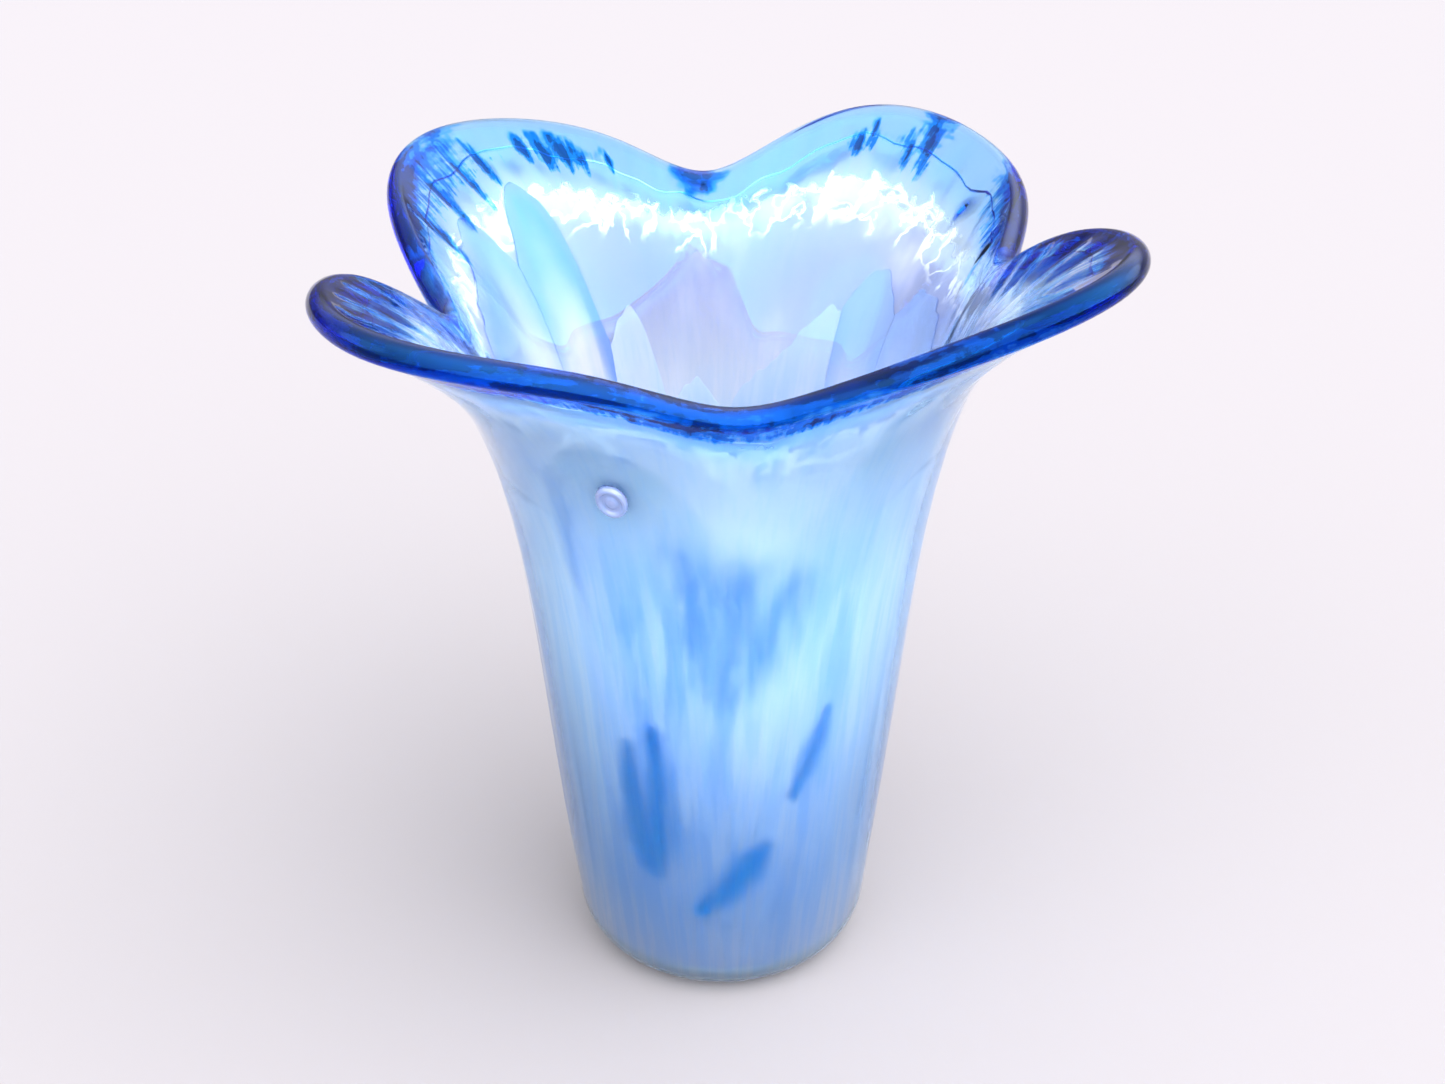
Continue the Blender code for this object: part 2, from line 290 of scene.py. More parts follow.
def wall_shares(body_rows, flare_rows):
    """Where the rows of a skin lie between its start and its top, closer together near the top."""
    body = np.linspace(0, FLARE_START, body_rows, endpoint=False)
    flare = 1 - (1 - np.linspace(0, 1, flare_rows + 1)) ** FLARE_CROWDING
    return np.concatenate([body, FLARE_START + (1 - FLARE_START) * flare])


def wall_rings(depth, top, b, relief=None, rows=WALL_ROWS, foot_depth=None):
    """The wall of a skin from the heel to top(bearing); relief(bearing, rise) pushes it outwards."""
    foot_depth = depth if foot_depth is None else foot_depth
    start = rise_at(b, HEEL_HEIGHT + FLOOR_PER_WALL * foot_depth)
    rings = []
    for share in wall_shares(*rows):
        rise = start + (top(b) - start) * share
        push = relief(b, rise) if relief else 0
        rings.append(wall_point(b, rise, depth - push))
    return rings


def shell(rings):
    """A closed skin through rings of points, as points and faces that look outwards for rings going up."""
    around = len(rings[0])
    points = np.concatenate(rings + [rings[0].mean(0, keepdims=True), rings[-1].mean(0, keepdims=True)])
    i = np.arange(around)
    j = (i + 1) % around
    low = (np.arange(len(rings) - 1) * around)[:, None]
    quads = np.stack([low + i, low + j, low + around + j, low + around + i], -1).reshape(-1, 4)
    first = np.stack([np.full(around, len(points) - 2), j, i], -1)
    last = low[-1, 0] + around
    second = np.stack([np.full(around, len(points) - 1), last + i, last + j], -1)
    return points, quads.tolist() + first.tolist() + second.tolist()


def add_piece(name, shells, material, nodes, attributes=None):
    """One visible object made of closed shells, riding on the vase and standing for its CAD nodes."""
    points, faces = [], []
    for shell_points, shell_faces in shells:
        faces += [[len(points) + corner for corner in face] for face in shell_faces]
        points += shell_points.tolist()
    mesh = bpy.data.meshes.new(name)
    mesh.from_pydata(points, [], faces)
    for key, values in (attributes or {}).items():
        values = np.asarray(values, np.float32)
        kind, field = ("FLOAT", "value") if values.ndim == 1 else ("FLOAT_VECTOR", "vector")
        layer = mesh.attributes.new(key, kind, "POINT")
        layer.data.foreach_set(field, values.ravel())
    mesh.shade_smooth()
    mesh.materials.append(material)
    piece = bpy.data.objects.new(name, mesh)
    bpy.context.scene.collection.objects.link(piece)
    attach(piece, "root")
    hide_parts(*nodes)
    return piece


def rim(bearing):
    """The top of the wall as a rise, which is one all round."""
    return np.ones_like(bearing)


# ---------------------------------------------------------------- relief of the hot-worked surface
def off_bearing(b, centre):
    """The turn from a centre bearing, between minus and plus half a turn."""
    return np.mod(b - centre + math.pi, math.tau) - math.pi


def ridges(seed, count, lowest, highest, wide, long, size):
    """A relief of ridges drawn out towards the rim, between two rises."""
    random = np.random.RandomState(seed)
    centres = random.uniform(0, math.tau, count)
    levels = random.uniform(lowest, highest, count)
    widths = random.uniform(0.6, 1.4, count) * wide
    lengths = random.uniform(0.6, 1.4, count) * long
    sizes = random.uniform(-1, 1, count) * size

    def relief(b, rise):
        across = off_bearing(b[:, None], centres) / widths
        along = (rise[:, None] - levels) / lengths
        return (sizes * np.exp(-(across**2) - along**2)).sum(-1)

    return relief


def dash_cover(b, rise):
    """How strongly each point of the rim lies on one of its navy dashes."""
    reach = rim_reach(b)
    height = rim_height(b)
    cover = np.zeros_like(b)
    for bearing, level, width, length in RIM_DASHES:
        slant = DASH_SLANT * (rise - level) * height / MM
        across = (off_bearing(b, math.radians(bearing)) * reach / MM - slant) / (DASH_WIDENING * width)
        along = (rise - level) * height / MM / length
        cover = np.maximum(cover, np.exp(-(across**2) - along**2))
    return cover


def wisp_cover(b, rise):
    """Patches of the rim where the navy breaks up into thin wisps."""
    cover = np.zeros_like(b)
    for bearing, level, width, length, strength in WISP_PATCHES:
        across = np.degrees(off_bearing(b, math.radians(bearing))) / width
        cover = np.maximum(cover, strength * np.exp(-(across**2) - ((rise - level) / length) ** 2))
    return cover


def lip_shade_and_folds(b):
    """How dark the lip is made: deep all along the front, as painted shade for the long way through the
    glass there, and in the folds at both ends of the back lobes.
    """
    # painted shade: the whole front of the lip is darkened
    front = FRONT_LIP_SHADE * smooth_step(-0.05, 0.12, -np.sin(b))
    folds = [
        strength * np.exp(-((off_bearing(b, math.radians(bearing)) / math.radians(width)) ** 2))
        for bearing, width, strength in LIP_FOLDS
    ]
    return np.maximum(front, np.max(folds, axis=0))


def inside_ink_and_shade(b, rise):
    """The navy on the inside of the rim: its dashes, its wisps, the two front lobes and, as painted shade,
    the lip's edge.
    """
    lobes = np.where(np.cos(b) < 0, LEFT_LOBE_INK, RIGHT_LOBE_INK) * smooth_step(0.0, 0.3, -np.sin(b))
    lobes = lobes * smooth_step(0.35, 0.6, abs(np.cos(b)))
    lobes = lobes * smooth_step(0.92, 0.96, rise)
    # the lip's painted shade, carried over its inner edge
    lip = lip_shade_and_folds(b) * smooth_step(0.97, 0.995, rise)
    return np.max([DASH_INK * dash_cover(b, rise), wisp_cover(b, rise), lobes, lip], axis=0)


# ---------------------------------------------------------------- pieces
def opal_edge(b):
    """The even line that the opal's ragged edge follows: higher at the dips than on the lobes."""
    at_dips = (1 + np.cos(4 * b)) / 2
    at_front = smooth_step(0.2, 0.7, -np.sin(b)) * (1 - at_dips)
    return OPAL_TOP_AT_LOBES + (OPAL_TOP_AT_DIPS - OPAL_TOP_AT_LOBES) * at_dips - 0.03 * at_front


def opal_top(b):
    """The torn edge itself, with a frayed band above the even line."""
    random = np.random.RandomState(11)
    ragged = 0.01 + 0.004 * np.sin(9 * b) + 0.003 * np.sin(17 * b + 1)
    for waves in range(30, 170, 7):
        ragged = ragged + 0.0009 * np.sin(waves * b + random.uniform(0, math.tau))
    return opal_edge(b) + ragged


def pocket_top(b):
    """The waved line where the pocket in the wall ends."""
    return 0.974 + 0.004 * np.sin(11 * b + 2) + 0.003 * np.sin(23 * b) + 0.002 * np.sin(41 * b)


def pocket_side(depth):
    """One side of the pocket that holds the colour. The two sides nearly meet at the pocket's top."""
    b = even_bearings(POCKET_AROUND)

    def push(bearing, rise):
        closing = 0.96 * (depth - JOIN) * smooth_step(-0.055, 0, rise - pocket_top(bearing)) ** 1.5
        return closing + heel_thinning(rise)

    low = depth - HEEL_THINNING
    return foot_rings(low, b) + wall_rings(depth, pocket_top, b, push, POCKET_ROWS, low)


def wall_attributes(b, whole_count, hollow_points):
    """What the clear glass reads at each point: its ink and the lip's painted shade, its distance from the
    lip's top, its place in the drawn-out patterns and how cloudy it is, which only the pocket's skins are."""
    hollow_count = len(hollow_points)
    ink_and_shade, over, cloudy = (np.zeros(whole_count + hollow_count) for _ in range(3))
    drawn = np.zeros((whole_count + hollow_count, 3))
    shares = wall_shares(*WALL_ROWS)
    foot = np.zeros(FOOT_ROWS)
    outer_rows = FOOT_ROWS + len(shares)
    half_lip = math.pi / 2 * LIP_SWELL * WALL / 2
    rises = np.concatenate([foot, shares, np.ones(LIP_ROWS), shares[::-1], foot])
    for row, share in enumerate(rises):
        ring = slice(row * WALL_AROUND, (row + 1) * WALL_AROUND)
        rise = np.full(WALL_AROUND, share)
        leaning = b - LEAN * np.sin(4 * b) * share
        drawn[ring, :2] = np.stack([np.cos(leaning), np.sin(leaning)], -1) * RIM_REACH
        drawn[ring, 2] = share * TOP_HEIGHT * DRAWN_OUT
        below = half_lip + (1 - share) * TOP_HEIGHT
        if row < outer_rows:
            over[ring] = -below
            # painted shade of the lip, reaching a little down the outside
            ink_and_shade[ring] = OUTSIDE_LIP_SHADE * lip_shade_and_folds(b) * smooth_step(0.975, 0.99, rise)
        elif row < outer_rows + LIP_ROWS:
            turned = (row - outer_rows + 1) / (LIP_ROWS + 1)
            over[ring] = half_lip * (2 * turned - 1)
            # painted shade over the lip itself, deepening towards the inside
            ink_and_shade[ring] = lip_shade_and_folds(b) * (LIP_SHADE_SHARES[0] + LIP_SHADE_SHARES[1] * turned)
        else:
            over[ring] = below
            ink_and_shade[ring] = inside_ink_and_shade(b, rise)
    cloudy[whole_count:] = smooth_step(0.02, -0.02, hollow_points[:, 1])
    cloudy[whole_count + hollow_count // 2 :] = 1
    return {"ink_and_shade": ink_and_shade, "cloudy": cloudy, "over": over, "drawn": drawn}


def lip_rings(b):
    """The round lip, from the outside of the wall over to its inside."""
    normal, up = wall_axes(b, 1.0)
    rings = []
    for row in range(1, LIP_ROWS + 1):
        turn = math.pi * row / (LIP_ROWS + 1)
        round_off = normal * math.cos(turn) + up * math.sin(turn)
        rings.append(wall_middle(b, 1.0) + round_off * (LIP_SWELL * WALL / 2))
    return rings


def add_wall():
    """The two clear gathers and the lip as one fused wall, with a thin pocket for the colour inside."""
    b = crowded_bearings(WALL_AROUND)
    fine = ridges(3, count=260, lowest=0.9, highest=1.0, wide=0.02, long=0.03, size=0.35 * MM)
    wavy = ridges(7, count=90, lowest=0.1, highest=0.9, wide=0.07, long=0.25, size=0.2 * MM)
    inner_fine = ridges(5, count=200, lowest=0.9, highest=1.0, wide=0.025, long=0.04, size=0.3 * MM)

    def outer_relief(bearing, rise):
        near_lip = fine(bearing, rise) * smooth_step(1.0, 0.985, rise)
        return near_lip + wavy(bearing, rise) * smooth_step(0, 0.1, rise)

    def inner_relief(bearing, rise):
        groove = DASH_GROOVE * dash_cover(bearing, rise) * smooth_step(1.0, 0.99, rise)
        return inner_fine(bearing, rise) * smooth_step(1.0, 0.985, rise) + groove

    outer = foot_rings(0, b) + wall_rings(0, rim, b, outer_relief)
    inner = foot_rings(WALL, b) + wall_rings(WALL, rim, b, inner_relief)
    whole = shell(outer + lip_rings(b) + inner[::-1])
    hollow = shell(pocket_side(GATHER_OUTER) + pocket_side(CASING)[::-1])
    add_piece(
        "glass_wall",
        [whole, hollow],
        glass_clear,
        ("outer_casing", "inner_gather"),
        wall_attributes(b, len(whole[0]), hollow[0]),
    )


def petal_top(petal, b):
    """The torn upper edge of a petal, how far its slope shortens a distance below it, and the distance to
    the petal's nearer side."""
    bearings = np.radians([bearing for bearing, _ in petal])
    heights = np.array([height for _, height in petal]) * MM
    middle = (bearings[0] + bearings[-1]) / 2
    turned = middle + off_bearing(b, middle)
    torn = 0.4 * MM * np.sin(61 * turned) + 0.3 * MM * np.sin(97 * turned + 1)
    softened = [np.interp(turned + shift, bearings, heights) for shift in (-0.024, -0.012, 0, 0.012, 0.024)]
    top = np.mean(softened, axis=0) + torn
    after = np.interp(turned + SLOPE_STEP, bearings, heights)
    before = np.interp(turned - SLOPE_STEP, bearings, heights)
    slope = (after - before) / (2 * SLOPE_STEP * body_radius(top))
    inside = np.minimum(turned - bearings[0], bearings[-1] - turned) * body_radius(top)
    return top, 1 / np.sqrt(1 + slope**2), inside


def petal_stain(b, z):
    """How far each point lies behind any petal, softened over a few millimetres."""
    stain = np.zeros_like(z)
    for petal in PETAL_TOPS:
        top, shortening, inside = petal_top(petal, b)
        below = (top - z) * shortening
        across = inside if petal[0][1] < 170 and petal[-1][1] < 170 else inside + 2 * MM
        stain = np.maximum(stain, smooth_step(-1 * MM, 2.5 * MM, np.minimum(below, across)))
    return stain


def add_opal():
    """The thin white layer, open at its torn top."""
    b = even_bearings(OPAL_AROUND)

    def settle(bearing, rise):
        return heel_thinning(rise)

    skins = []
    for depth in (OPAL_OUTER, OPAL_OUTER + OPAL):
        low = depth - HEEL_THINNING
        skins.append(foot_rings(low, b) + wall_rings(depth, opal_top, b, settle, OPAL_ROWS, low))
    points, faces = shell(skins[0] + skins[1][::-1])
    bearing = np.arctan2(points[:, 1], points[:, 0])
    outside = np.zeros(len(points))
    outside[: len(skins[0]) * OPAL_AROUND] = 1
    outside[-2] = 1
    length = opal_top(b) - rise_at(b, HEEL_HEIGHT)
    below_top = (1 - wall_shares(*OPAL_ROWS))[:, None] * length
    under = np.concatenate([np.ones((FOOT_ROWS, OPAL_AROUND)), below_top])
    fray = np.concatenate([under.ravel(), under[::-1].ravel(), [1, 1]]) * TOP_HEIGHT / MM
    add_piece(
        "opal_layer",
        [(points, faces)],
        glass_opal,
        ("opal_overlay",),
        {"stain": petal_stain(bearing, points[:, 2]), "outside": outside, "fray": fray},
    )


def plate(b, z, depth):
    """A thin curved plate through a grid of bearings and heights, as points and faces."""
    rise = rise_at(b, z)
    settled = depth - heel_thinning(rise)
    skins = [wall_point(b, rise, settled + extra).reshape(-1, 3) for extra in (0, SHARD)]
    rows, width = b.shape
    index = np.arange(rows * width).reshape(rows, width)
    squares = np.stack([index[:-1, :-1], index[:-1, 1:], index[1:, 1:], index[1:, :-1]], -1).reshape(-1, 4)
    border = np.concatenate([index[0], index[1:, -1], index[-1, -2::-1], index[-2:0:-1, 0]])
    after = np.roll(border, -1)
    half = rows * width
    sides = np.stack([after, border, half + border, half + after], -1)
    faces = squares.tolist() + (half + squares[:, ::-1]).tolist() + sides.tolist()
    return np.concatenate(skins), faces


def add_petal(number, petal):
    right, left = petal[0][0], petal[-1][0]
    b = np.radians(np.linspace(right + PETAL_CLEARANCE, left - PETAL_CLEARANCE, PETAL_COLUMNS + 1))
    top, shortening, _ = petal_top(petal, b)
    share = 1 - (1 - np.linspace(0, 1, PETAL_ROWS + 1)[:, None]) ** PETAL_CROWDING
    z = PETAL_FOOT + (top - PETAL_FOOT) * share
    bearings = np.broadcast_to(b, z.shape)
    edge = (top - z) * shortening / MM
    add_piece(
        f"petal_glass_{number}",
        [plate(bearings, z, PETAL_OUTER)],
        glass_petal,
        (f"azure_petal_{number}",),
        {
            "edge": np.tile(edge.ravel(), 2),
            "down": np.tile(((top - z) / MM).ravel(), 2),
            "tone": np.full(2 * edge.size, PETAL_TONES[number - 1]),
        },
    )


def stroke_cover(b, z, stroke):
    """How deep each point lies in a stroke of changing width: one on its middle line, none at its edge."""
    cover = np.full(z.shape, -1.0)
    for (b0, z0, w0), (b1, z1, w1) in zip(stroke, stroke[1:]):
        radius = body_radius(z)
        start = np.stack([off_bearing(b, math.radians(b0)) * radius, z - z0 * MM], -1)
        span = np.stack([math.radians(b1 - b0) * radius, np.full(z.shape, (z1 - z0) * MM)], -1)
        t = np.clip((start * span).sum(-1) / (span**2).sum(-1), 0, 1)
        away = np.linalg.norm(start - span * t[..., None], axis=-1)
        cover = np.maximum(cover, 1 - away / ((w0 + (w1 - w0) * t) * MM))
    return cover


def add_streak(place, strokes):
    """A thin plate that holds one soft-edged dark streak."""
    points = np.array([point for stroke in strokes for point in stroke])
    widest = points[:, 2].max() * MM
    low, high = points[:, 1].min() * MM - widest, points[:, 1].max() * MM + widest
    spread = widest / body_radius((low + high) / 2)
    right = math.radians(points[:, 0].min()) - spread
    left = math.radians(points[:, 0].max()) + spread
    across = np.linspace(right, left, int((left - right) * body_radius(high) / STREAK_CELL))
    b, z = np.meshgrid(across, np.linspace(low, high, int((high - low) / STREAK_CELL)))
    core = np.max([stroke_cover(b, z, stroke) for stroke in strokes], axis=0)
    strength = np.full(core.shape, DARK_STRENGTHS[place])
    add_piece(
        f"streak_glass_{place}",
        [plate(b, z, DARK_OUTER)],
        glass_dark,
        (f"dark_streak_{place}",),
        {"core": np.tile(core.ravel(), 2), "strength": np.tile(strength.ravel(), 2)},
    )


def add_seal():
    """The pressed glass button, an oval that follows the slope of the wall."""
    centre = math.radians(SEAL_BEARING)
    turn = even_bearings(SEAL_AROUND)

    def on_wall(across, climb, proud=0.0):
        bearing = centre + across
        return wall_point(bearing, rise_at(bearing, SEAL_HEIGHT + climb), -proud)

    def length_per(turn_step, climb_step):
        ends = on_wall(turn_step, climb_step) - on_wall(-turn_step, -climb_step)
        return np.linalg.norm(ends) / (2 * SMALL_STEP)

    length_per_turn = length_per(SMALL_STEP, 0)
    length_per_climb = length_per(0, SMALL_STEP)

    def ring(radius, proud):
        across = SEAL_WIDENING * radius * np.cos(turn) / length_per_turn
        return on_wall(across, SEAL_LENGTHENING * radius * np.sin(turn) / length_per_climb, proud)

    radii = np.array([radius for radius, _ in SEAL_PROFILE]) * MM
    prouds = np.array([proud for _, proud in SEAL_PROFILE]) * MM + GAP
    sunk = 0.1 * MM
    fine = np.linspace(sunk, radii[-1], SEAL_ROWS)
    rings = [ring(radii[-1], sunk)] + [ring(r, np.interp(r, radii, prouds)) for r in fine[::-1]]
    add_piece("seal_prunt", [shell(rings)], glass_seal, ("seal",))


# ---------------------------------------------------------------- materials
WHITE = (1.0, 1.0, 1.0)
INK_AND_SHADE_TINTS = (  # the depth of the ink and of the lip's painted shade where each tint starts and is full: azure, royal blue, near black
    (0.12, 0.32, (0.08, 0.5, 1.0)),
    (0.36, 0.48, (0.0, 0.1, 0.66)),
    (0.64, 0.8, (0.0, 0.003, 0.06)),
)
SLOWED_ALONG_LIP = 0.13
CLOUDY_ROUGHNESS = 0.34
CLEAR_IOR = 1.5
CLEAR_ABSORPTION = 200
CLEAR_AZURE = (0.25, 0.71, 0.99, 1)


def new_material(name):
    material = bpy.data.materials.new(name)
    material.use_nodes = True
    return material, material.node_tree


def add_node(tree, kind, **settings):
    node = tree.nodes.new(kind)
    for key, value in settings.items():
        setattr(node, key, value)
    return node


def attribute(tree, name):
    return add_node(tree, "ShaderNodeAttribute", attribute_name=name).outputs["Fac"]


def put(tree, value, socket):
    """A socket takes a link, a colour or a number."""
    if isinstance(value, tuple):
        socket.default_value = (*value, 1)
    elif isinstance(value, (int, float)):
        socket.default_value = value
    else:
        tree.links.new(value, socket)


def ramp(tree, value, low, high, to_low=0.0, to_high=1.0):
    node = add_node(tree, "ShaderNodeMapRange", interpolation_type="SMOOTHSTEP")
    for name, setting in (
        ("Value", value),
        ("From Min", low),
        ("From Max", high),
        ("To Min", to_low),
        ("To Max", to_high),
    ):
        put(tree, setting, node.inputs[name])
    return node.outputs["Result"]


def maths(tree, operation, *values):
    node = add_node(tree, "ShaderNodeMath", operation=operation)
    for socket, value in zip(node.inputs, values):
        put(tree, value, socket)
    return node.outputs[0]


def blend_colour(tree, factor, first, second):
    node = add_node(tree, "ShaderNodeMix", data_type="RGBA")
    put(tree, factor, node.inputs[0])
    put(tree, first, node.inputs[6])
    put(tree, second, node.inputs[7])
    return node.outputs[2]


def drawn_place(tree, stretch):
    """Coordinates on the object, squeezed along its height so that patterns are drawn out upwards."""
    place = add_node(tree, "ShaderNodeTexCoord")
    mapping = add_node(tree, "ShaderNodeMapping")
    mapping.inputs["Scale"].default_value = (1, 1, stretch)
    tree.links.new(place.outputs["Object"], mapping.inputs["Vector"])
    return mapping.outputs["Vector"]


def noise_on(tree, place, scale, detail):
    node = add_node(tree, "ShaderNodeTexNoise")
    node.inputs["Scale"].default_value = scale
    node.inputs["Detail"].default_value = detail
    tree.links.new(place, node.inputs["Vector"])
    return node.outputs["Fac"]


def noise(tree, scale, stretch, detail=4.0):
    return noise_on(tree, drawn_place(tree, stretch), scale, detail)


def centred(tree, value):
    """A pattern between nought and one, shifted so that its middle is nought."""
    return maths(tree, "SUBTRACT", value, 0.5)


def object_axes(tree):
    place = add_node(tree, "ShaderNodeTexCoord")
    split = add_node(tree, "ShaderNodeSeparateXYZ")
    tree.links.new(place.outputs["Object"], split.inputs["Vector"])
    return split.outputs


def height_of(tree):
    return object_axes(tree)["Z"]


def along_lip(tree):
    """Coordinates that change slowly along the rim and fast across the lip."""
    axes = object_axes(tree)
    joined = add_node(tree, "ShaderNodeCombineXYZ")
    for axis in "XY":
        put(tree, maths(tree, "MULTIPLY", axes[axis], SLOWED_ALONG_LIP), joined.inputs[axis])
    put(tree, attribute(tree, "over"), joined.inputs["Z"])
    return joined.outputs["Vector"]


def milky_shader(tree, colour, through_share):
    """Translucent glass: a diffuse share throws light back and the rest lets it through."""
    shader = tree.nodes["Principled BSDF"]
    shader.inputs["Roughness"].default_value = 0.5
    shader.inputs["Specular IOR Level"].default_value = 0
    through = add_node(tree, "ShaderNodeBsdfTranslucent")
    tree.links.new(colour, shader.inputs["Base Color"])
    tree.links.new(colour, through.inputs["Color"])
    mix = add_node(tree, "ShaderNodeMixShader")
    mix.inputs[0].default_value = through_share
    tree.links.new(shader.outputs[0], mix.inputs[1])
    tree.links.new(through.outputs[0], mix.inputs[2])
    return mix.outputs[0]


def cut_out(tree, cover, shader):
    """The shader where the cover is one, and nothing where it is nought."""
    clear = add_node(tree, "ShaderNodeBsdfTransparent")
    mix = add_node(tree, "ShaderNodeMixShader")
    tree.links.new(cover, mix.inputs[0])
    tree.links.new(clear.outputs[0], mix.inputs[1])
    tree.links.new(shader, mix.inputs[2])
    return mix.outputs[0]


def show(tree, shader):
    tree.links.new(shader, tree.nodes["Material Output"].inputs["Surface"])


def ink_and_shade_depth(tree, on_lip, drawn):
    """The ink and the lip's painted shade, torn into streaks that run up the wall and, on the lip, along it.
    """
    mask = attribute(tree, "ink_and_shade")
    along = centred(tree, noise_on(tree, along_lip(tree), 300.0, 4.0))
    jagged = centred(tree, noise(tree, 330.0, 1.0, 5.0))
    upwards = maths(tree, "MULTIPLY", centred(tree, drawn), ramp(tree, on_lip, 0.0, 1.0, 1.5, 0.15))
    ink_and_shade = maths(tree, "ADD", mask, upwards)
    ink_and_shade = maths(tree, "MULTIPLY_ADD", along, ramp(tree, on_lip, 0.0, 1.0, 0.4, 2.3), ink_and_shade)
    ink_and_shade = maths(tree, "MULTIPLY_ADD", jagged, 0.9, ink_and_shade)
    return maths(tree, "MULTIPLY", ink_and_shade, ramp(tree, mask, 0.03, 0.25))


def clear_tint(tree):
    """Clear glass with pale drawn-out veils, deepening through the tints of the ink and of the lip's painted
    shade.
    """
    over = maths(tree, "ABSOLUTE", attribute(tree, "over"))
    on_lip = ramp(tree, over, 0.0085, 0.0055)
    drawn_out = add_node(tree, "ShaderNodeAttribute", attribute_name="drawn").outputs["Vector"]
    drawn = noise_on(tree, drawn_out, 620.0, 3.0)
    veil = noise_on(tree, drawn_out, 190.0, 5.0)
    veiled = maths(tree, "MULTIPLY", ramp(tree, veil, 0.4, 0.62, 0.0, 0.7), ramp(tree, over, 0.03, 0.1))
    tint = blend_colour(tree, veiled, WHITE, (0.68, 0.85, 1.0))
    tint = blend_colour(tree, ramp(tree, drawn, 0.48, 0.64, 0.0, 0.28), tint, (0.7, 0.86, 1.0))
    # the ink together with the lip's painted shade
    ink_and_shade = ink_and_shade_depth(tree, on_lip, drawn)
    for start, full, colour in INK_AND_SHADE_TINTS:
        tint = blend_colour(tree, ramp(tree, ink_and_shade, start, full), tint, colour)
    return tint


def clear_material():
    """Clear azure glass. The ink and the lip's painted shade are a tint of its surface, and the azure
    deepens with the way through it.
    """
    material, tree = new_material("azure_clear_glass")
    shader = tree.nodes["Principled BSDF"]
    tree.links.new(clear_tint(tree), shader.inputs["Base Color"])
    roughness = maths(tree, "MULTIPLY", attribute(tree, "cloudy"), CLOUDY_ROUGHNESS)
    tree.links.new(roughness, shader.inputs["Roughness"])
    shader.inputs["IOR"].default_value = CLEAR_IOR
    shader.inputs["Specular IOR Level"].default_value = 0.12
    shader.inputs["Specular Tint"].default_value = (0.05, 0.35, 1.0, 1)
    shader.inputs["Transmission Weight"].default_value = 1
    volume = add_node(tree, "ShaderNodeVolumeAbsorption")
    volume.inputs["Color"].default_value = CLEAR_AZURE
    volume.inputs["Density"].default_value = CLEAR_ABSORPTION
    tree.links.new(volume.outputs["Volume"], tree.nodes["Material Output"].inputs["Volume"])
    return material


def opal_threads(tree, cloud, fray):
    """Fine white threads that cross the clear glass just under the opal's torn edge."""
    bent = add_node(tree, "ShaderNodeVectorMath", operation="MULTIPLY_ADD")
    tree.links.new(cloud, bent.inputs[0])
    bent.inputs[1].default_value = (0.02, 0.02, 0.02)
    tree.links.new(drawn_place(tree, 0.8), bent.inputs[2])
    cells = add_node(tree, "ShaderNodeTexVoronoi", feature="DISTANCE_TO_EDGE")
    cells.inputs["Scale"].default_value = 95
    tree.links.new(bent.outputs[0], cells.inputs["Vector"])
    near_edge = maths(tree, "MULTIPLY", ramp(tree, fray, 0.0, 1.5), ramp(tree, fray, 14.0, 9.0))
    return maths(tree, "MULTIPLY", ramp(tree, cells.outputs["Distance"], 0.09, 0.03), near_edge)


def opal_inside(tree, z, cloud, fray):
    """Lilac white, bluer towards the rim and paler again along the torn edge."""
    colour = blend_colour(tree, ramp(tree, z, 0.13, 0.185), (1.0, 0.98, 0.98), (0.4, 0.41, 0.6))
    drawn = noise(tree, 38.0, 0.2)
    colour = blend_colour(tree, ramp(tree, drawn, 0.5, 0.72, 0.0, 0.5), colour, (0.94, 0.9, 0.98))
    edge = maths(tree, "MULTIPLY_ADD", cloud, 14.0, maths(tree, "MULTIPLY", fray, -1.0))
    return blend_colour(tree, ramp(tree, edge, -3.0, 2.0), colour, (0.6, 0.67, 0.8))


def opal_outside(tree, z):
    """The petals that show through, under long white and azure drawing marks, paler near the top as painted
    light, darker towards the foot as painted shade, and with a band of painted light at the very foot.
    """
    light = ramp(tree, noise(tree, 45.0, 0.12), 0.38, 0.66)
    stained = blend_colour(tree, light, (0.48, 0.68, 1.0), (0.74, 0.85, 1.0))
    # painted light: the stained colour turns paler near the top
    high = blend_colour(tree, light, (0.8, 0.95, 1.0), WHITE)
    stained = blend_colour(tree, ramp(tree, z, 0.125, 0.18), stained, high)
    colour = blend_colour(tree, attribute(tree, "stain"), WHITE, stained)
    for scale, stretch, start, full, most, mark in (
        (120.0, 0.07, 0.49, 0.6, 0.6, (0.92, 0.95, 1.0)),
        (330.0, 0.04, 0.52, 0.6, 0.4, WHITE),
        (90.0, 0.06, 0.55, 0.7, 0.5, (0.35, 0.6, 0.95)),
    ):
        cover = ramp(tree, noise(tree, scale, stretch), start, full, 0.0, most)
        colour = blend_colour(tree, cover, colour, mark)
    # painted shade: the outside darkens towards the foot
    low = blend_colour(tree, ramp(tree, z, 0.012, 0.05), (0.13, 0.19, 0.36), (0.27, 0.31, 0.47))
    colour = blend_colour(tree, ramp(tree, z, 0.135, 0.03, 0.0, 0.85), colour, low)
    # painted light: a paler, bluer band at the very foot
    return blend_colour(tree, ramp(tree, z, 0.012, 0.004, 0.0, 0.8), colour, (0.6, 0.85, 1.0))


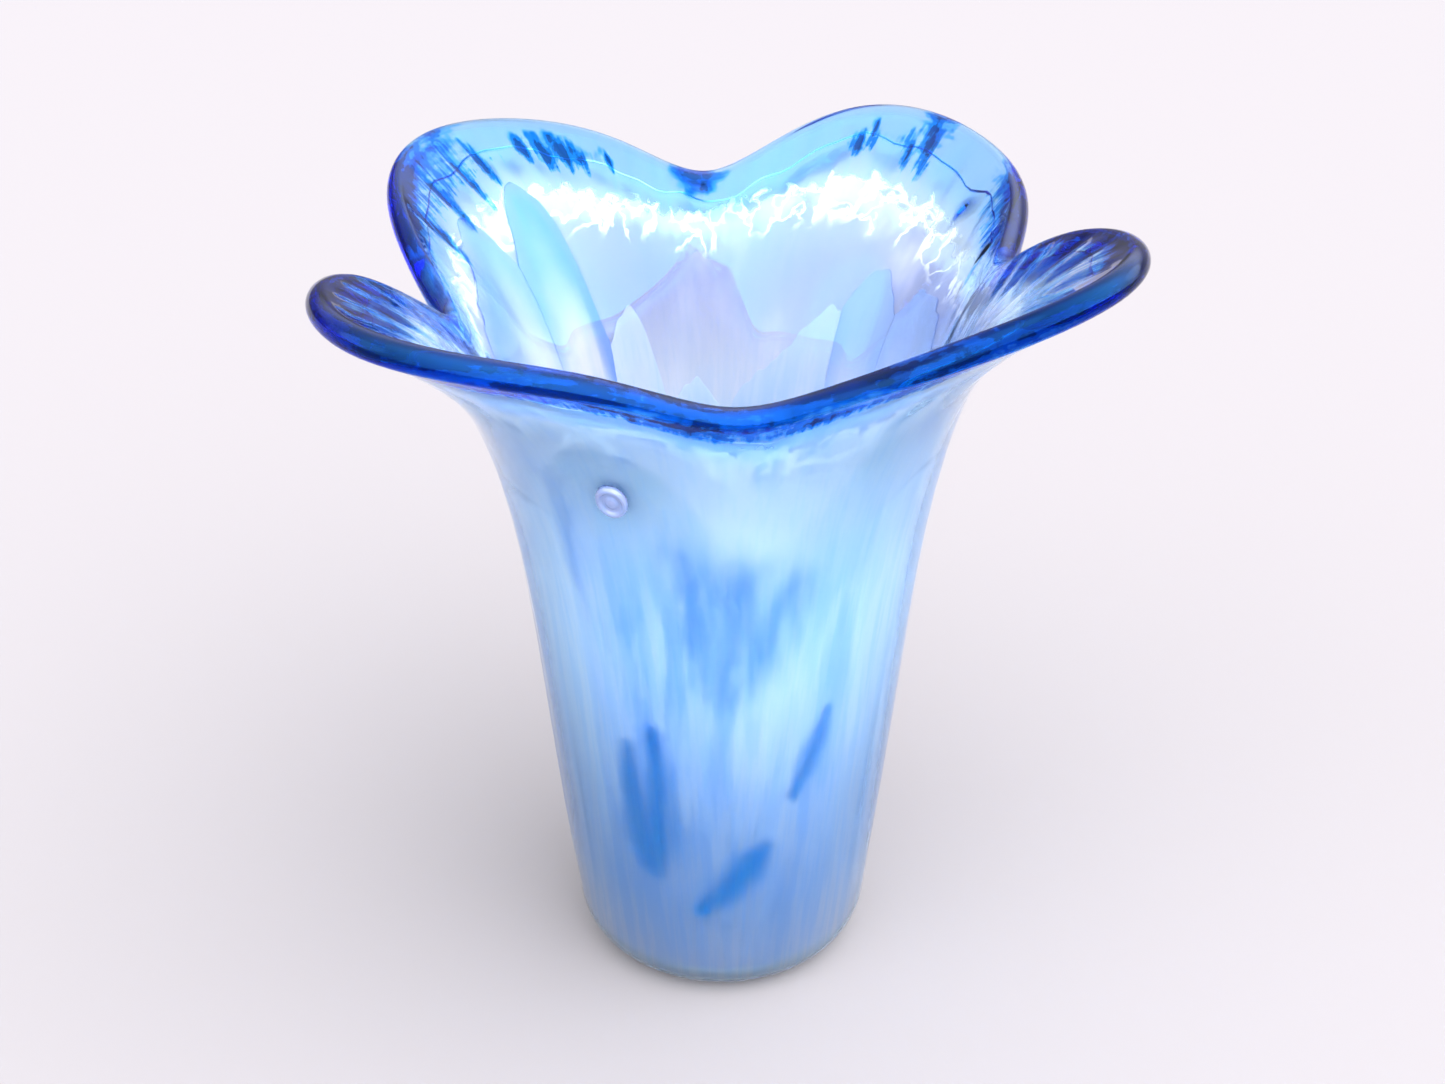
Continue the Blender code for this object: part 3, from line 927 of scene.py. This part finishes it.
def opal_material():
    """White glass with colours inside and outside, the outside also carrying painted light and shade, torn
    away at its upper edge.
    """
    material, tree = new_material("opal_white_glass")
    z = height_of(tree)
    fray = attribute(tree, "fray")
    cloud = noise(tree, 110.0, 0.7)
    torn = maths(tree, "MULTIPLY_ADD", cloud, 16.0, maths(tree, "SUBTRACT", fray, 8.0))
    thread = opal_threads(tree, cloud, fray)
    cover = maths(tree, "MAXIMUM", ramp(tree, torn, 2.0, 3.5), thread)
    inside = opal_inside(tree, z, cloud, fray)
    colour = blend_colour(tree, attribute(tree, "outside"), inside, opal_outside(tree, z))
    colour = blend_colour(tree, thread, colour, WHITE)
    show(tree, cut_out(tree, cover, milky_shader(tree, colour, 0.45)))
    return material


def petal_material():
    """Azure that fades to a cyan white lower down, with a faint violet line along the torn edge."""
    material, tree = new_material("azure_petal_glass")
    mottled = maths(tree, "MULTIPLY_ADD", noise(tree, 60.0, 0.25), 24.0, attribute(tree, "down"))
    tone = attribute(tree, "tone")
    upper = blend_colour(tree, tone, (0.88, 0.93, 1.0), (0.3, 0.52, 0.95))
    body = blend_colour(tree, ramp(tree, mottled, 18.0, 52.0), upper, (0.95, 0.92, 1.0))
    rim_line = maths(tree, "MULTIPLY", ramp(tree, attribute(tree, "edge"), 4.0, 0.3, 0.0, 0.5), tone)
    colour = blend_colour(tree, rim_line, body, (0.5, 0.56, 0.95))
    high = ramp(tree, height_of(tree), 0.14, 0.195)
    colour = blend_colour(tree, high, colour, blend_colour(tree, 0.3, colour, (0.0, 0.05, 0.3)))
    show(tree, milky_shader(tree, colour, 0.5))
    return material


def dark_material():
    """Deep azure that feathers out to nothing at its edges."""
    material, tree = new_material("azure_dark_glass")
    feather = noise(tree, 210.0, 0.12)
    core = attribute(tree, "core")
    torn = maths(tree, "MULTIPLY_ADD", feather, 1.6, core)
    torn = maths(tree, "MULTIPLY_ADD", noise(tree, 480.0, 0.1), 0.6, torn)
    cover = maths(tree, "MULTIPLY", ramp(tree, torn, 1.0, 3.3), attribute(tree, "strength"))
    colour = blend_colour(tree, ramp(tree, core, 0.0, 0.7), (0.06, 0.36, 0.8), (0.0, 0.3, 0.68))
    show(tree, cut_out(tree, cover, milky_shader(tree, colour, 0.4)))
    return material


def seal_material():
    """Grey-blue glass, pressed and slightly dull."""
    material, tree = new_material("pale_seal_glass")
    colour = blend_colour(tree, noise(tree, 400.0, 1.0), (0.26, 0.28, 0.44), (0.14, 0.26, 0.52))
    shader = tree.nodes["Principled BSDF"]
    shader.inputs["Roughness"].default_value = 0.12
    shader.inputs["Transmission Weight"].default_value = 0.3
    tree.links.new(colour, shader.inputs["Base Color"])
    return material


# ---------------------------------------------------------------- studio
CAMERA_LENS = 47.7
CAMERA_PITCH = math.radians(29.97)
CAMERA_TURN = math.radians(-1.11)
CAMERA_DISTANCE = 0.524
CAMERA_AIM_HEIGHT = 0.1277
CAMERA_SIDE = -0.0086
FRONT_LIGHT = (0, -0.9, 0.436)
FLOOR_COLOUR = (0.183, 0.179, 0.184, 1)
SOFT_BOX_STRENGTH = 2.5
SOFT_BOXES = (((-0.75, -0.45, 0.5), 0.93), ((0.85, 0.1, 0.5), 0.95))  # direction, and cosine at the edge


def stage_floor():
    """A wide pale matt floor, just clear of the foot."""
    bpy.ops.mesh.primitive_plane_add(size=30, location=(0, 0, -0.3 * MM))
    floor = bpy.context.object
    floor.name = "floor"
    material, tree = new_material("pale_floor")
    matt = add_node(tree, "ShaderNodeBsdfDiffuse")
    matt.inputs["Color"].default_value = FLOOR_COLOUR
    show(tree, matt.outputs[0])
    floor.data.materials.append(material)


def facing(tree, direction, towards):
    """How squarely a direction faces another: one straight at it, nought square to it."""
    node = add_node(tree, "ShaderNodeVectorMath", operation="DOT_PRODUCT")
    length = math.hypot(*towards)
    tree.links.new(direction, node.inputs[0])
    node.inputs[1].default_value = [part / length for part in towards]
    return node.outputs["Value"]


def light_world():
    """Soft light from all round, stronger from the front, above and the right, with two soft boxes."""
    world = bpy.data.worlds.new("studio")
    bpy.context.scene.world = world
    world.use_nodes = True
    tree = world.node_tree
    direction = add_node(tree, "ShaderNodeTexCoord").outputs["Generated"]
    split = add_node(tree, "ShaderNodeSeparateXYZ")
    tree.links.new(direction, split.inputs["Vector"])
    x, y, z = (split.outputs[axis] for axis in "XYZ")
    low_behind = maths(tree, "MULTIPLY", ramp(tree, y, -0.1, 0.4), ramp(tree, z, 0.68, 0.25, 0.0, 0.8))
    strength = ramp(tree, z, 0.0, 0.95, 2.9, 4.2)
    for factor in (
        maths(tree, "SUBTRACT", 1.0, low_behind),
        ramp(tree, y, -0.3, 0.6, 1.08, 0.85),
        ramp(tree, facing(tree, direction, FRONT_LIGHT), 0.1, 0.8, 0.9, 1.75),
    ):
        strength = maths(tree, "MULTIPLY", strength, factor)
    strength = maths(tree, "ADD", strength, ramp(tree, z, 0.7, 0.98, 0.0, 0.7))
    strength = maths(tree, "MULTIPLY", strength, ramp(tree, x, -0.8, 0.8, 0.52, 1.48))
    for towards, edge in SOFT_BOXES:
        box = ramp(tree, facing(tree, direction, towards), edge - 0.03, edge + 0.02, 0.0, SOFT_BOX_STRENGTH)
        strength = maths(tree, "ADD", strength, box)
    back = tree.nodes["Background"]
    back.inputs["Color"].default_value = (1.0, 0.97, 1.0, 1)
    tree.links.new(strength, back.inputs["Strength"])


def place_camera():
    """The camera looks down at the vase from the front, turned a little to its right."""
    data = bpy.data.cameras.new("camera")
    data.sensor_width = 36
    data.lens = CAMERA_LENS
    camera = bpy.data.objects.new("camera", data)
    bpy.context.scene.collection.objects.link(camera)
    away = CAMERA_DISTANCE * math.cos(CAMERA_PITCH)
    above = CAMERA_DISTANCE * math.sin(CAMERA_PITCH)
    camera.location = (CAMERA_SIDE, -away, CAMERA_AIM_HEIGHT + above)
    camera.rotation_euler = (math.pi / 2 - CAMERA_PITCH, 0, CAMERA_TURN)
    bpy.context.scene.camera = camera


def set_light_paths():
    """Enough bounces for light to pass through all the layers of glass."""
    scene = bpy.context.scene
    scene.view_settings.view_transform = "Standard"
    scene.cycles.max_bounces = 24
    scene.cycles.transmission_bounces = 24
    scene.cycles.transparent_max_bounces = 16
    scene.cycles.diffuse_bounces = 10
    scene.cycles.glossy_bounces = 8


place_camera()
stage_floor()
light_world()
set_light_paths()
glass_clear = clear_material()
glass_opal = opal_material()
glass_petal = petal_material()
glass_dark = dark_material()
glass_seal = seal_material()
add_wall()
add_opal()
for number, petal in enumerate(PETAL_TOPS, 1):
    add_petal(number, petal)
for place, strokes in DARK_STROKES.items():
    add_streak(place, strokes)
add_seal()
